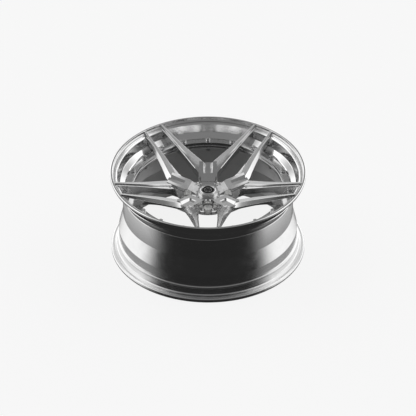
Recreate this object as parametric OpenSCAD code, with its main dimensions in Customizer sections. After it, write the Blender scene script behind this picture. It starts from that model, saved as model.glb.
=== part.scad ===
// Two-piece-rim forged wheel: front-mounted five-Y centre, stepped outer lip, inner barrel.
// Millimetres. +Z is the wheel axis, pointing out of the visible face.
// Origin: centre of the flat mounting face that sits against the vehicle hub.

/* [Rim] */
// Nominal bead seat diameter
rim_diameter = 508; // [482:1:534]
// Width between the two flanges
rim_width = 228.6; // [215:0.1:242]
// Distance of the mounting face in front of the rim middle
rim_offset = 30; // [24:1:36]
// Height of each tyre flange above the bead seat
flange_height = 17.5; // [16:0.5:19]
// Thickness of each tyre flange
flange_thickness = 12; // [11:0.5:13]
// Radius of the cylindrical drop centre
drop_radius = 237; // [236:0.5:239]
// Wall thickness of the barrel
barrel_wall = 5; // [4:0.5:6]

/* [Assembly ring] */
// Radius of the assembly bolt circle
ring_bolt_radius = 219.5; // [218.5:0.5:220.5]
// Number of assembly bolts
ring_bolt_count = 20; // [20:1:20]
// Inner radius of the centre's clamping ring
ring_inner = 210; // [208:0.5:212]
// Thickness of the centre's clamping ring
ring_thickness = 10; // [8:0.5:11]
// Thickness of the lip and barrel clamping flanges
joint_flange = 6; // [5:0.5:7]

/* [Hub] */
// Radius of the mounting pad
pad_radius = 76; // [75:0.5:78]
// Thickness of the mounting pad at the lug holes
pad_thickness = 10; // [9:0.5:12]
// Radius of the lug hole circle
lug_circle = 60; // [59:0.5:61]
// Radius of the hub centring bore
hub_bore = 32.05; // [28:0.05:33]
// Radius of the boss that carries the centre cap
boss_radius = 27.5; // [27:0.5:29]

/* [Spokes] */
// Half width of the open slot between two neighbouring spokes
slot_half = 26; // [25:0.5:27]
// Fall of the spoke face for each millimetre towards the hub
face_slope = 0.295; // [0.27:0.005:0.31]
// Radius at which the spoke tips end
tip_radius = 264.6; // [263:0.1:264.8]

/* [Valve] */
// Depth of the valve hole behind the front face
valve_depth = 94; // [92:1:97]
// Angle of the valve round the wheel
valve_angle = 18; // [18:72:306]

/* [Shown part] */
// Node to draw, or all

/* [Hidden] */
front = rim_width / 2 + flange_thickness - rim_offset;
back = front - rim_width - 2 * flange_thickness;
seat = rim_diameter / 2;
rim_r = seat + flange_height;
ring_top = front - 48;
ring_bottom = ring_top - ring_thickness;
lip_bottom = ring_bottom - joint_flange;
barrel_top = lip_bottom;
barrel_back = barrel_top - joint_flange;
joint_inner = ring_inner - 1.5;
wall_r = 228;
arms = 5;
arm_step = 360 / arms;
arm_start = 90;
slot_start = 54;
lug_count = 5;
insert_r = 13;
boss_top = front - 63.6;
cap_r = 25.4;
cap_bore = 23.4;
valve_z = front - valve_depth;
fn_big = 180;
fn_mid = 72;
fn_small = 32;

function rz(points) = [for (p = points) [p[0], front + p[1]]];

module ring_of(points) {
    rotate_extrude($fn = fn_big) polygon(rz(points));
}

module tube(r_out, r_in, z0, z1, fn) {
    translate([0, 0, z0]) difference() {
        cylinder(r = r_out, h = z1 - z0, $fn = fn);
        translate([0, 0, -1]) cylinder(r = r_in, h = z1 - z0 + 2, $fn = fn);
    }
}

// ---- outer lip ------------------------------------------------------------

lip_edge = rim_r;
lip_depth = front - lip_bottom;
lip_joint = front - ring_bottom;

// Faces seen from the front: clamping flange, wall, two sloped steps, bead edge.
lip_front_line = [
    [joint_inner, -lip_joint], [wall_r, -lip_joint], [wall_r, -47], [231, -44], [244, -36.6],
    [245.2, -35.2], [251.4, -13.6], [252.8, -12], [257, -9.8], [258.2, -7.4], [264.6, -6],
    [265.4, -0.8], [266.2, 0]];

lip_back_line = [
    [lip_edge - 1.5, 0], [lip_edge, -1.5], [lip_edge, -6.5], [lip_edge - 1.2, -9.6],
    [lip_edge - 5, -11.6], [lip_edge - 9.5, -12.6], [seat + 3, -14.8], [seat + 0.8, -17], [seat, -20],
    [seat - 1.5, -33], [seat - 0.8, -35], [seat - 1.4, -37.2], [seat - 3, -38.6],
    [drop_radius + 3, -46], [drop_radius + 0.6, -48.4], [drop_radius, -51],
    [drop_radius, -lip_depth], [joint_inner, -lip_depth]];

module outer_lip() {
    color("silver") difference() {
        ring_of(concat(lip_front_line, lip_back_line));
        bolt_holes(4.2, lip_bottom - 1, ring_bottom + 1);
        seal_groove();
    }
}

// ---- inner barrel ---------------------------------------------------------

barrel_line = [
    [joint_inner, -lip_depth], [drop_radius, -lip_depth], [drop_radius, -130], [249, -181],
    [249, -209], [250.2, -212.6], [seat - 1.4, -215.4], [seat - 0.8, -217.6], [seat - 1.5, -219.6],
    [seat, -232.6], [seat + 0.8, -235.6], [seat + 3, -237.8], [rim_r - 9.5, -240],
    [rim_r - 5, -241], [rim_r - 1.2, -243], [rim_r, -246.1], [rim_r, -251.1], [rim_r - 1.5, -252.6],
    [262, -252.6], [259.5, -250.4], [253, -248.4], [250.4, -244.6], [248.6, -236], [247.4, -221],
    [249 - barrel_wall, -213], [249 - barrel_wall, -182.2], [drop_radius - barrel_wall, -131.2],
    [drop_radius - barrel_wall, -lip_depth - joint_flange - 3],
    [drop_radius - barrel_wall - 3, -lip_depth - joint_flange],
    [joint_inner, -lip_depth - joint_flange]];

module inner_barrel() {
    color("silver") difference() {
        ring_of(barrel_line);
        bolt_holes(4.2, barrel_back - 1, barrel_top + 1);
        seal_groove();
        on_valve() translate([0, 0, -4]) cylinder(r = 5.8, h = 14, $fn = fn_small);
        on_valve() translate([0, 0, barrel_wall]) cylinder(r = 11, h = 6, $fn = fn_small);
        on_valve() translate([0, 0, -6]) cylinder(r = 11, h = 6, $fn = fn_small);
    }
}

module seal_groove() {
    rotate_extrude($fn = fn_big) translate([232.5, lip_bottom]) circle(r = 1.6, $fn = fn_small);
}

module rim_seal() {
    color("black") rotate_extrude($fn = fn_big)
        translate([232.5, lip_bottom]) circle(r = 1.5, $fn = fn_small);
}

// ---- assembly hardware ----------------------------------------------------

washer_t = 1.6;
nut_h = 8;
bolt_head_z = ring_top + washer_t;
nut_z = barrel_back - washer_t;

module on_ring(start = arm_start) {
    for (i = [0 : ring_bolt_count - 1])
        rotate([0, 0, start + i * 360 / ring_bolt_count])
            translate([ring_bolt_radius, 0, 0]) children();
}

module bolt_holes(r, z0, z1) {
    on_ring() translate([0, 0, z0]) cylinder(r = r, h = z1 - z0, $fn = fn_small);
}

module twelve_point(r, h) {
    cylinder(r = r, h = h, $fn = 6);
    rotate([0, 0, 30]) cylinder(r = r, h = h, $fn = 6);
}

module assembly_bolts() {
    color("gainsboro") on_ring() {
        translate([0, 0, nut_z - nut_h - 1.5])
            cylinder(r = 4, h = bolt_head_z - nut_z + nut_h + 2.5, $fn = fn_small);
        translate([0, 0, bolt_head_z]) cylinder(r = 6.6, h = 1.6, $fn = fn_small);
        difference() {
            translate([0, 0, bolt_head_z + 1]) twelve_point(5.6, 7);
            translate([0, 0, bolt_head_z + 5.6]) cylinder(r = 2.6, h = 4, $fn = fn_small);
        }
    }
}

module bolt_washers() {
    color("dimgray") on_ring() tube(7, 4.1, ring_top, bolt_head_z, fn_small);
}

module assembly_nuts() {
    color("dimgray") on_ring() difference() {
        union() {
            translate([0, 0, nut_z - nut_h]) cylinder(r = 6.9, h = nut_h - 1, $fn = 6);
            translate([0, 0, nut_z - 1.8]) cylinder(r = 7, h = 1.8, $fn = fn_small);
        }
        translate([0, 0, nut_z - nut_h - 1]) cylinder(r = 4.05, h = nut_h + 2, $fn = fn_small);
    }
}

module nut_washers() {
    color("dimgray") on_ring() tube(7.6, 4.1, nut_z, barrel_back, fn_small);
}

// ---- forged centre --------------------------------------------------------

// One spoke arm beside an open slot: u runs out along the slot, v away from its middle.
arm_u = [64, 88, 100, 126, 152, 178, 206, 236, 262.4];
arm_slot = [26, 26, 26, 26, 26, 26, 25.2, 24, 22.6];
arm_ridge = [42, 41, 39, 35, 31, 29.6, 28.6, 27.2, 25.4];
arm_top = [52, 56, 55.6, 51, 45.4, 41, 37, 33.4, 30.4];
arm_kite = [58, 66, 68, 61.4, 54.4, 48.6, 42.4, 37, 32.2];
arm_shelf = [15, 7.4, 7.2, 7, 6.6, 6.4, 6.2, 6, 5.6];
arm_kite_drop = [10, 10, 10, 10, 10, 9.6, 9, 8, 6];
arm_deep = [34, 28, 27.4, 27, 26, 27, 35.6, 47, 52];
arm_side = [22, 18, 17, 16.4, 16.4, 20, 31, 45, 52];
arm_n = len(arm_u);
arm_low = [for (i = [0 : arm_n - 1])
    max(arm_slot[i] + 4, arm_kite[i] - 0.42 * (arm_side[i] - arm_kite_drop[i]))];

function face_z(u) = front - (262.4 - u) * face_slope;

function arm_section(i) =
    let (z = face_z(arm_u[i]), a = arm_slot[i], r = arm_ridge[i], s = arm_shelf[i])
    [[a + 0.6, z - arm_deep[i]], [a, z - arm_deep[i] + 1], [a, z - s - 0.6], [a + 0.6, z - s],
     [max(a + 1.2, r - 3.2), z - s + 0.4], [max(a + 1.4, r - 3), z - 3.8], [r, z], [arm_top[i], z],
     [arm_kite[i], z - arm_kite_drop[i]], [arm_low[i] + 1, z - arm_side[i] + 1],
     [arm_low[i], z - arm_side[i]]];

module arm() {
    m = len(arm_section(0));
    points = [for (i = [0 : arm_n - 1]) for (p = arm_section(i)) [arm_u[i], p[0], p[1]]];
    walls = [for (i = [0 : arm_n - 2]) for (j = [0 : m - 1])
        let (k = (j + 1) % m) each [[i * m + j, i * m + k, (i + 1) * m + k],
                                    [i * m + j, (i + 1) * m + k, (i + 1) * m + j]]];
    ends = [[for (j = [0 : m - 1]) m - 1 - j], [for (j = [0 : m - 1]) (arm_n - 1) * m + j]];
    polyhedron(points = points, faces = concat(walls, ends));
}

module on_slots() {
    for (i = [0 : arms - 1]) rotate([0, 0, slot_start + i * arm_step]) children();
}

module on_stems() {
    for (i = [0 : arms - 1]) rotate([0, 0, arm_start + i * arm_step]) children();
}

// Side view of a stem, s outwards from the axis, extruded across to a half width.
module stem_slab(line, half) {
    rotate([90, 0, 0]) translate([0, 0, -half])
        linear_extrude(height = 2 * half) polygon(rz(line));
}

stem_floor = [[0, -96.3 + 2], [74, -94], [92, -80], [118, -68]];
valley = -72.6;
module stem() {
    intersection() {
        stem_slab(concat([[118, -52], [100, -53.4], [86, -58.6], [74, -64], [44, valley],
                          [0, valley - 12.6]], stem_floor), 40);
        translate([0, 0, -5]) linear_extrude(height = 120)
            polygon([[0, 0], [20, -24], [60, -36], [96, -36], [117, -8],
                     [117, 8], [96, 36], [60, 36], [20, 24]]);
    }
    stem_slab([[112, -75], [112, -44.6], [95, -49.6], [73, -55], [52, -59], [42, -64.4],
               [39, -71], [39, -80]], 24.2);
    stem_slab([[62, -75], [62, -57.6], [48, -62], [24, -75.4], [24, -82]], 17.4);
}

// Tapered channel along the top of a stem, open into the window between its arms.
module stem_channel() {
    multmatrix([[1, 0, 0, 0], [0, 1, 0, 0], [0.19, 0, 1, front - 73.8], [0, 0, 0, 1]])
        rotate([90, 0, 90]) translate([0, 0, 70]) linear_extrude(height = 60)
            polygon([[-6.8, 0], [6.8, 0], [13.6, 6], [13.6, 30], [-13.6, 30], [-13.6, 6]]);
}

// Open slot between two stems: a V that follows the stems' sides, then straight sides.
slot_apex = slot_half / sin(arm_step / 2);
slot_knee = slot_apex + slot_half / tan(arm_step / 2);

module slot_cut() {
    translate([lug_circle, 0, -20]) cylinder(r = 15.5, h = 160, $fn = fn_mid);
    translate([0, 0, -20]) linear_extrude(height = 160)
        polygon([[slot_apex, 0], [slot_knee, -slot_half], [112, -slot_half], [112, slot_half],
                 [slot_knee, slot_half]]);
}

module hub_bore_cut() {
    translate([0, 0, -1]) cylinder(r = hub_bore, h = 7, $fn = fn_mid);
    translate([0, 0, 5.99]) cylinder(r1 = hub_bore, r2 = cap_bore, h = hub_bore - cap_bore, $fn = fn_mid);
    translate([0, 0, 10]) cylinder(r = cap_bore, h = 80, $fn = fn_mid);
    translate([0, 0, boss_top - 4]) cylinder(r = cap_r + 0.1, h = 40, $fn = fn_mid);
    translate([0, 0, boss_top - 16.6]) cylinder(r = cap_bore + 1.2, h = 3.2, $fn = fn_mid);
}

// Room for the lip under the outer part of every arm.
module lip_room() {
    rotate_extrude($fn = fn_big) polygon(rz([
        [wall_r - 0.5, -80], [wall_r - 0.5, -46.4], [230.6, -43.2], [243.6, -35.8], [244.4, -34.8],
        [250.7, -13], [252.4, -11.2], [256.6, -9], [257.7, -6.7], [tip_radius, -5.2],
        [tip_radius, 20], [320, 20], [320, -80]]));
}

module forged_centre() {
    color("lightgray") difference() {
        union() {
            difference() {
                union() {
                    on_stems() stem();
                    on_slots() {
                        arm();
                        mirror([0, 1, 0]) arm();
                    }
                    cylinder(r = 51, h = front + valley, $fn = fn_mid);
                }
                on_slots() slot_cut();
                on_stems() stem_channel();
            }
            cylinder(r = pad_radius, h = pad_thickness, $fn = fn_big);
            translate([0, 0, 4]) cylinder(r = boss_radius, h = boss_top - 4, $fn = fn_mid);
            tube(wall_r - 0.5, ring_inner, ring_bottom, ring_top, fn_big);
        }
        lip_room();
        hub_bore_cut();
        translate([0, 0, -20]) cylinder(r = 100, h = 20, $fn = fn_mid);
        on_slots() {
            translate([lug_circle, 0, -1]) cylinder(r = insert_r, h = 60, $fn = fn_mid);
            translate([lug_circle, -10, 2.4]) cube([30, 20, 60]);
        }
        bolt_holes(4.2, ring_bottom - 1, ring_top + 1);
    }
}

module lug_seat_inserts() {
    color("gainsboro") on_slots() translate([lug_circle, 0, 0]) difference() {
        union() {
            cylinder(r = insert_r, h = 14.6, $fn = fn_mid);
            translate([0, 0, 14.6]) cylinder(r1 = insert_r, r2 = insert_r - 1, h = 1.4, $fn = fn_mid);
        }
        translate([0, 0, -1]) cylinder(r = 7.3, h = 30, $fn = fn_mid);
        translate([0, 0, 9]) cylinder(r1 = 7.3, r2 = 11.4, h = 7.1, $fn = fn_mid);
    }
}

// ---- centre cap -----------------------------------------------------------

cap_lid_z = boss_top - 4;
cap_top = boss_top + 0.6;

module cap_shell() {
    color("dimgray") {
        tube(cap_r - 0.2, 17.6, cap_lid_z, cap_lid_z + 3.2, fn_mid);
        translate([0, 0, cap_lid_z]) cylinder(r = 17.7, h = 2, $fn = fn_mid);
        difference() {
            tube(cap_bore - 0.3, cap_bore - 2.3, boss_top - 18.4, cap_lid_z + 0.5, fn_mid);
            rotate_extrude($fn = fn_mid) translate([cap_bore - 0.3, boss_top - 15])
                circle(r = 0.9, $fn = fn_small);
            tube(cap_bore + 1, cap_bore - 1.5, boss_top - 8.6, boss_top - 6.9, fn_mid);
            for (a = [18 : 45 : 153])
                rotate([0, 0, a]) translate([-30, -1, boss_top - 20]) cube([60, 2, 9]);
        }
    }
}

module cap_trim_ring() {
    color("silver") rotate_extrude($fn = fn_mid) polygon([
        [17.5, cap_lid_z + 3.2], [cap_r - 0.2, cap_lid_z + 3.2], [cap_r - 0.2, cap_top - 0.7],
        [cap_r - 0.9, cap_top], [22.4, cap_top], [20, cap_top + 0.8], [18.2, cap_top + 0.8],
        [17.5, cap_top + 0.2]]);
}

module cap_badge() {
    color("black") {
        translate([0, 0, cap_lid_z + 2]) cylinder(r = 17.4, h = cap_top - cap_lid_z - 2.8, $fn = fn_mid);
        translate([0, 0, cap_top - 0.9]) cylinder(r1 = 17.4, r2 = 16.4, h = 0.7, $fn = fn_mid);
    }
}

// Plain raised ring with five small bars.
module cap_emblem() {
    color("silver") {
        tube(11.4, 9.8, cap_top - 0.2, cap_top + 0.25, fn_mid);
        on_stems() translate([2.4, -0.9, cap_top - 0.2]) cube([8, 1.8, 0.45]);
    }
}

module cap_spring_ring() {
    color("silver") rotate([0, 0, 30]) rotate_extrude(angle = 336, $fn = fn_mid)
        translate([cap_bore - 0.3, boss_top - 15]) circle(r = 0.8, $fn = fn_small);
}

module cap_seal() {
    color("black") tube(cap_bore - 0.02, cap_bore - 1.5, boss_top - 8.4, boss_top - 7.1, fn_mid);
}

// ---- valve ----------------------------------------------------------------

module on_valve() {
    rotate([0, 0, valve_angle + 90])
        translate([0, -drop_radius, valve_z]) rotate([-90, 0, 0]) children();
}

module valve_stem() {
    color("silver") on_valve() difference() {
        union() {
            translate([0, 0, -7.6]) cylinder(r = 8, h = 3.6, $fn = fn_small);
            translate([0, 0, -4.5]) cylinder(r = 5, h = 26, $fn = fn_small);
            translate([0, 0, 21]) cylinder(r1 = 5, r2 = 3.85, h = 2, $fn = fn_small);
            translate([0, 0, 23]) cylinder(r = 3.85, h = 13, $fn = fn_small);
        }
        translate([0, 0, -8]) cylinder(r = 1.6, h = 50, $fn = fn_small);
        translate([0, 0, 18]) cylinder(r = 2.65, h = 20, $fn = fn_small);
    }
}

module valve_grommet() {
    color("black") on_valve() difference() {
        union() {
            translate([0, 0, -4]) cylinder(r = 8.4, h = 4, $fn = fn_small);
            translate([0, 0, -0.5]) cylinder(r = 5.75, h = barrel_wall + 0.5, $fn = fn_small);
        }
        translate([0, 0, -5]) cylinder(r = 5.03, h = 20, $fn = fn_small);
    }
}

module valve_washer() {
    color("silver") on_valve() tube(8.6, 5.06, barrel_wall, barrel_wall + 1.5, fn_small);
}

module valve_nut() {
    color("silver") on_valve() difference() {
        translate([0, 0, barrel_wall + 1.5]) cylinder(r = 8, h = 5, $fn = 6);
        translate([0, 0, barrel_wall]) cylinder(r = 5.03, h = 8, $fn = fn_small);
    }
}

module valve_core() {
    color("goldenrod") on_valve() difference() {
        union() {
            translate([0, 0, 27]) cylinder(r = 2.62, h = 7, $fn = fn_small);
            translate([0, 0, 20]) cylinder(r = 2.2, h = 7.5, $fn = fn_small);
        }
        translate([0, 0, 18]) cylinder(r = 1.5, h = 8, $fn = fn_small);
        translate([0, 0, 25]) cylinder(r = 0.6, h = 4, $fn = fn_small);
        translate([0, 0, 28]) cylinder(r = 1.5, h = 10, $fn = fn_small);
    }
}

module valve_core_seal() {
    color("black") on_valve() tube(2.62, 2.22, 22, 25, fn_small);
}

module valve_pin() {
    color("goldenrod") on_valve() {
        translate([0, 0, 19]) cylinder(r = 0.55, h = 16, $fn = fn_small);
        translate([0, 0, 18.3]) cylinder(r = 1.4, h = 1.2, $fn = fn_small);
        translate([0, 0, 34]) cylinder(r = 0.9, h = 1, $fn = fn_small);
    }
}

module valve_cap() {
    color("dimgray") on_valve() difference() {
        union() {
            translate([0, 0, 27.5]) cylinder(r = 4.9, h = 11, $fn = fn_small);
            translate([0, 0, 38.5]) cylinder(r1 = 4.9, r2 = 4.1, h = 1, $fn = fn_small);
        }
        translate([0, 0, 26]) cylinder(r = 3.9, h = 11.4, $fn = fn_small);
        for (a = [0 : 30 : 330])
            rotate([0, 0, a]) translate([5.1, 0, 29]) cylinder(r = 0.5, h = 8, $fn = 8);
    }
}

module valve_cap_seal() {
    color("black") on_valve() tube(3.6, 1.9, 36.1, 37.3, fn_small);
}

forged_centre();
outer_lip();
inner_barrel();
rim_seal();
assembly_bolts();
bolt_washers();
assembly_nuts();
nut_washers();
lug_seat_inserts();
cap_shell();
cap_trim_ring();
cap_badge();
cap_emblem();
cap_spring_ring();
cap_seal();
valve_stem();
valve_grommet();
valve_washer();
valve_nut();
valve_core();
valve_core_seal();
valve_pin();
valve_cap();
valve_cap_seal();
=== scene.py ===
"""Looks of a forged car wheel: spoked centre, polished lip, spun barrel, hardware, cap and valve."""

from __future__ import annotations

import logging
import math
from collections.abc import Sequence
from dataclasses import dataclass, field
from enum import Enum

import bmesh
import bpy
import numpy as np
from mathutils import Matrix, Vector

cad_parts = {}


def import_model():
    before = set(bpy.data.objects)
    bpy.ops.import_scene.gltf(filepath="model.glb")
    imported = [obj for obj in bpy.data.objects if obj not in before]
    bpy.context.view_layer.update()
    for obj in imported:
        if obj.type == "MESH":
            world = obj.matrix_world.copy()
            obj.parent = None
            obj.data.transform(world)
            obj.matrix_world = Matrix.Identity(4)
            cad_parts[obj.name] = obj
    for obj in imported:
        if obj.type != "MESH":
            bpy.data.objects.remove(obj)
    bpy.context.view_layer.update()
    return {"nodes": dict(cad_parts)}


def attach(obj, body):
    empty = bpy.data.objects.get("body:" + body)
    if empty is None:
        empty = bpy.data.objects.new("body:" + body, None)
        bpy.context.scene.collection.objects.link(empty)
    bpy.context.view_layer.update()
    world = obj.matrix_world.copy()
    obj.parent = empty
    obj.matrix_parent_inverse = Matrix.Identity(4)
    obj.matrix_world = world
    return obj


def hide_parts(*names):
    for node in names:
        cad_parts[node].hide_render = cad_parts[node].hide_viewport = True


LOG = logging.getLogger("wheel")
Profile = Sequence[tuple[float, float]]
Socket = bpy.types.NodeSocket
Piece = bpy.types.Object
MM = 0.001
NOISE = (0.3, 0.7)


# ---------------------------------------------------------------- finishes


class Grain(Enum):
    """Which way the fine tool marks of a metal finish run."""

    TURNED = "rings round the wheel axis"
    MILLED = "short strokes along the part"
    NONE = "no marks"


@dataclass(frozen=True)
class MetalFinish:
    """A bare, plated or anodised metal surface."""

    name: str
    tint: tuple[float, float, float]
    roughness: float
    grain: Grain = Grain.NONE
    grain_depth: float = 0.0
    anisotropy: float = 0.0
    smudge: float = 0.05
    cloud: float = 0.06
    metal: float = 1.0

    def build(self) -> bpy.types.Material:
        """Makes the material: tinted metal, cloudy roughness, tool marks as fine bump.

        Returns:
            The finished node material.
        """
        kit = MaterialKit(self.name)
        shader = kit.shader
        shader.inputs["Metallic"].default_value = self.metal
        shader.inputs["Anisotropic"].default_value = self.anisotropy
        clouds = kit.noise(kit.place(), 9.0, 3.0)
        dark = tuple(c * (1.0 - self.cloud) for c in self.tint)
        kit.link(kit.mix(clouds, dark, self.tint), shader.inputs["Base Color"])
        smudges = kit.noise(kit.place(), 42.0, 4.0)
        ends = max(0.02, self.roughness - self.smudge), self.roughness + self.smudge
        kit.link(kit.spread(smudges, NOISE, ends, "LINEAR"), shader.inputs["Roughness"])
        if self.grain is not Grain.NONE:
            height = kit.rings() if self.grain is Grain.TURNED else kit.strokes()
            kit.link(kit.bump(height, self.grain_depth), shader.inputs["Normal"])
        if self.anisotropy:
            kit.link(kit.tangent(), shader.inputs["Tangent"])
        return kit.material


@dataclass(frozen=True)
class MouldedFinish:
    """Rubber, plastic or lacquer: no metal, a fine moulded texture."""

    name: str
    colour: tuple[float, float, float]
    roughness: float
    texture: float = 0.02

    def build(self) -> bpy.types.Material:
        """Makes the material: even colour with faint clouds and a pebbled bump.

        Returns:
            The finished node material.
        """
        kit = MaterialKit(self.name)
        shader = kit.shader
        clouds = kit.noise(kit.place(), 30.0, 4.0)
        bright = tuple(min(1.0, c * 1.35 + 0.004) for c in self.colour)
        kit.link(kit.mix(clouds, self.colour, bright), shader.inputs["Base Color"])
        ends = self.roughness * 0.85, self.roughness * 1.15
        kit.link(kit.spread(clouds, NOISE, ends, "LINEAR"), shader.inputs["Roughness"])
        pebbles = kit.noise(kit.place(), 900.0, 2.0)
        kit.link(kit.bump(pebbles, self.texture), shader.inputs["Normal"])
        return kit.material


class NodeKit:
    """Short calls for building one node tree."""

    def __init__(self, tree: bpy.types.NodeTree) -> None:
        """Works on that tree."""
        self.tree = tree

    def link(self, source: Socket, target: Socket) -> None:
        """Joins two sockets."""
        self.tree.links.new(source, target)

    def place(self) -> Socket:
        """Position on the object, in metres."""
        return self.tree.nodes.new("ShaderNodeTexCoord").outputs["Object"]

    def noise(self, where: Socket, scale: float, detail: float) -> Socket:
        """Smooth noise, 0 to 1.

        Args:
            where: the coordinate to read.
            scale: waves for each metre.
            detail: octaves of finer noise.

        Returns:
            The noise value socket.
        """
        node = self.tree.nodes.new("ShaderNodeTexNoise")
        node.inputs["Scale"].default_value = scale
        node.inputs["Detail"].default_value = detail
        self.link(where, node.inputs["Vector"])
        return node.outputs["Fac"]

    def mix(self, fac: Socket, a: Sequence[float], b: Sequence[float]) -> Socket:
        """Blends two colours by a factor.

        Args:
            fac: 0 gives a, 1 gives b.
            a: first colour.
            b: second colour.

        Returns:
            The colour socket.
        """
        node = self.tree.nodes.new("ShaderNodeMix")
        node.data_type = "RGBA"
        node.inputs["A"].default_value = (*a, 1.0)
        node.inputs["B"].default_value = (*b, 1.0)
        self.link(fac, node.inputs["Factor"])
        return node.outputs["Result"]

    def spread(self, value: Socket, source: Sequence[float], target: Sequence[float] = (0.0, 1.0),
               kind: str = "SMOOTHSTEP") -> Socket:
        """Carries a value from one range to another and stops at its ends.

        Args:
            value: the value to read.
            source: range of the value.
            target: range of the result.
            kind: SMOOTHSTEP for soft ends, or LINEAR.

        Returns:
            The value socket.
        """
        node = self.tree.nodes.new("ShaderNodeMapRange")
        node.interpolation_type = kind
        for place, number in zip(("From Min", "From Max", "To Min", "To Max"), (*source, *target)):
            node.inputs[place].default_value = number
        self.link(value, node.inputs["Value"])
        return node.outputs["Result"]

    def math(self, kind: str, a: Socket | float, b: Socket | float = 0.0) -> Socket:
        """One arithmetic step.

        Args:
            kind: the Math node's operation.
            a: first value.
            b: second value.

        Returns:
            The value socket.
        """
        node = self.tree.nodes.new("ShaderNodeMath")
        node.operation = kind
        for socket, value in zip(node.inputs, (a, b)):
            if isinstance(value, (int, float)):
                socket.default_value = value
            else:
                self.link(value, socket)
        return node.outputs[0]

    def rings(self) -> Socket:
        """Lathe marks: noise that changes with radius and height only, so it runs in rings.

        Returns:
            The height socket.
        """
        split = self.tree.nodes.new("ShaderNodeSeparateXYZ")
        self.link(self.place(), split.inputs[0])
        x, y, z = split.outputs
        radius = self.math("SQRT", self.math("ADD", self.math("MULTIPLY", x, x), self.math("MULTIPLY", y, y)))
        join = self.tree.nodes.new("ShaderNodeCombineXYZ")
        self.link(radius, join.inputs[0])
        self.link(z, join.inputs[1])
        return self.noise(join.outputs[0], 1400.0, 3.0)

    def strokes(self) -> Socket:
        """Milling marks: noise stretched across the wheel axis.

        Returns:
            The height socket.
        """
        scale = self.tree.nodes.new("ShaderNodeMapping")
        scale.inputs["Scale"].default_value = (1.0, 1.0, 6.0)
        self.link(self.place(), scale.inputs["Vector"])
        return self.noise(scale.outputs[0], 260.0, 4.0)

    def bump(self, height: Socket, depth: float) -> Socket:
        """Turns a height into a bumped normal.

        Args:
            height: the pattern.
            depth: depth of the pattern in millimetres.

        Returns:
            The normal socket.
        """
        node = self.tree.nodes.new("ShaderNodeBump")
        node.inputs["Strength"].default_value = 1.0
        node.inputs["Distance"].default_value = depth * MM
        self.link(height, node.inputs["Height"])
        return node.outputs["Normal"]

    def tangent(self) -> Socket:
        """Direction round the wheel axis."""
        node = self.tree.nodes.new("ShaderNodeTangent")
        node.direction_type = "RADIAL"
        node.axis = "Z"
        return node.outputs[0]


class MaterialKit(NodeKit):
    """Node calls on a new principled material."""

    def __init__(self, name: str) -> None:
        """Starts a material of that name."""
        self.material = bpy.data.materials.new(name)
        self.material.use_nodes = True
        super().__init__(self.material.node_tree)
        self.shader = self.tree.nodes["Principled BSDF"]


@dataclass(frozen=True)
class Finishes:
    """Every finish on the wheel."""

    centre: MetalFinish = MetalFinish("forged_brushed", (0.8, 0.8, 0.8), 0.17, Grain.MILLED, 0.006, cloud=0.1)
    lip: MetalFinish = MetalFinish("lip_polished", (0.86, 0.86, 0.86), 0.11, Grain.TURNED, 0.005, 0.4, 0.04)
    barrel: MetalFinish = MetalFinish("barrel_spun", (0.74, 0.74, 0.74), 0.22, Grain.TURNED, 0.004, 0.4)
    bore: MetalFinish = MetalFinish("barrel_inside", (0.5, 0.5, 0.5), 0.42, Grain.TURNED, 0.004, metal=0.8)
    bolt: MetalFinish = MetalFinish("bolt_plated", (0.78, 0.78, 0.78), 0.16)
    washer: MetalFinish = MetalFinish("washer_plated", (0.45, 0.45, 0.46), 0.35)
    nut: MetalFinish = MetalFinish("nut_zinc", (0.50, 0.50, 0.51), 0.34, cloud=0.18)
    # Near-white, almost non-metal seat colour is a painted reflection: it stands in for the bright light the
    # seat walls would mirror.
    insert: MetalFinish = MetalFinish("seat_painted_reflection", (0.97, 0.97, 0.96), 0.42, metal=0.05)
    cap_ring: MetalFinish = MetalFinish("cap_bright", (0.86, 0.86, 0.86), 0.12)
    valve: MetalFinish = MetalFinish("valve_turned", (0.62, 0.62, 0.63), 0.28)
    valve_cap: MetalFinish = MetalFinish("valve_cap_anodised", (0.10, 0.10, 0.11), 0.34)
    core: MetalFinish = MetalFinish("core_brass", (0.72, 0.55, 0.27), 0.3)
    spring: MetalFinish = MetalFinish("spring_wire", (0.5, 0.5, 0.5), 0.3)
    rubber: MouldedFinish = MouldedFinish("seal_rubber", (0.018, 0.018, 0.018), 0.62, 0.05)
    badge: MouldedFinish = MouldedFinish("badge_gloss", (0.003, 0.003, 0.003), 0.12, 0.001)
    plastic: MouldedFinish = MouldedFinish("cap_plastic", (0.03, 0.03, 0.03), 0.5, 0.03)


# ---------------------------------------------------------------- surfaces


def rounded_rows(rows: np.ndarray, radii: float | Sequence[float], steps: int) -> np.ndarray:
    """Closed outlines, one in each row, with every corner rounded.

    Each corner P becomes the curve (1-t)^2 A + 2t(1-t) P + t^2 B, where A and B lie on the two
    sides at a distance that gives the wanted radius, but never past 45 % of a side.

    Args:
        rows: corners, as outlines by points by two.
        radii: corner radius, one for all or one for each corner.
        steps: points on each rounded corner.

    Returns:
        The outlines' points, as outlines by points by two.
    """
    before, after = np.roll(rows, 1, 1) - rows, np.roll(rows, -1, 1) - rows
    len_b, len_a = np.linalg.norm(before, axis=-1), np.linalg.norm(after, axis=-1)
    unit_b, unit_a = before / len_b[..., None], after / len_a[..., None]
    half = np.arccos(np.clip((unit_b * unit_a).sum(-1), -1, 1)) / 2
    reach = np.broadcast_to(np.asarray(radii, float), len_a.shape) / np.maximum(np.tan(half), 1e-3)
    reach = np.minimum(reach, 0.45 * np.minimum(len_a, len_b))[..., None]
    a, b = rows + unit_b * reach, rows + unit_a * reach
    t = np.linspace(0, 1, steps)[:, None]
    curve = (1 - t) ** 2 * a[:, :, None] + 2 * t * (1 - t) * rows[:, :, None] + t**2 * b[:, :, None]
    return curve.reshape(len(rows), -1, 2)


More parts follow.
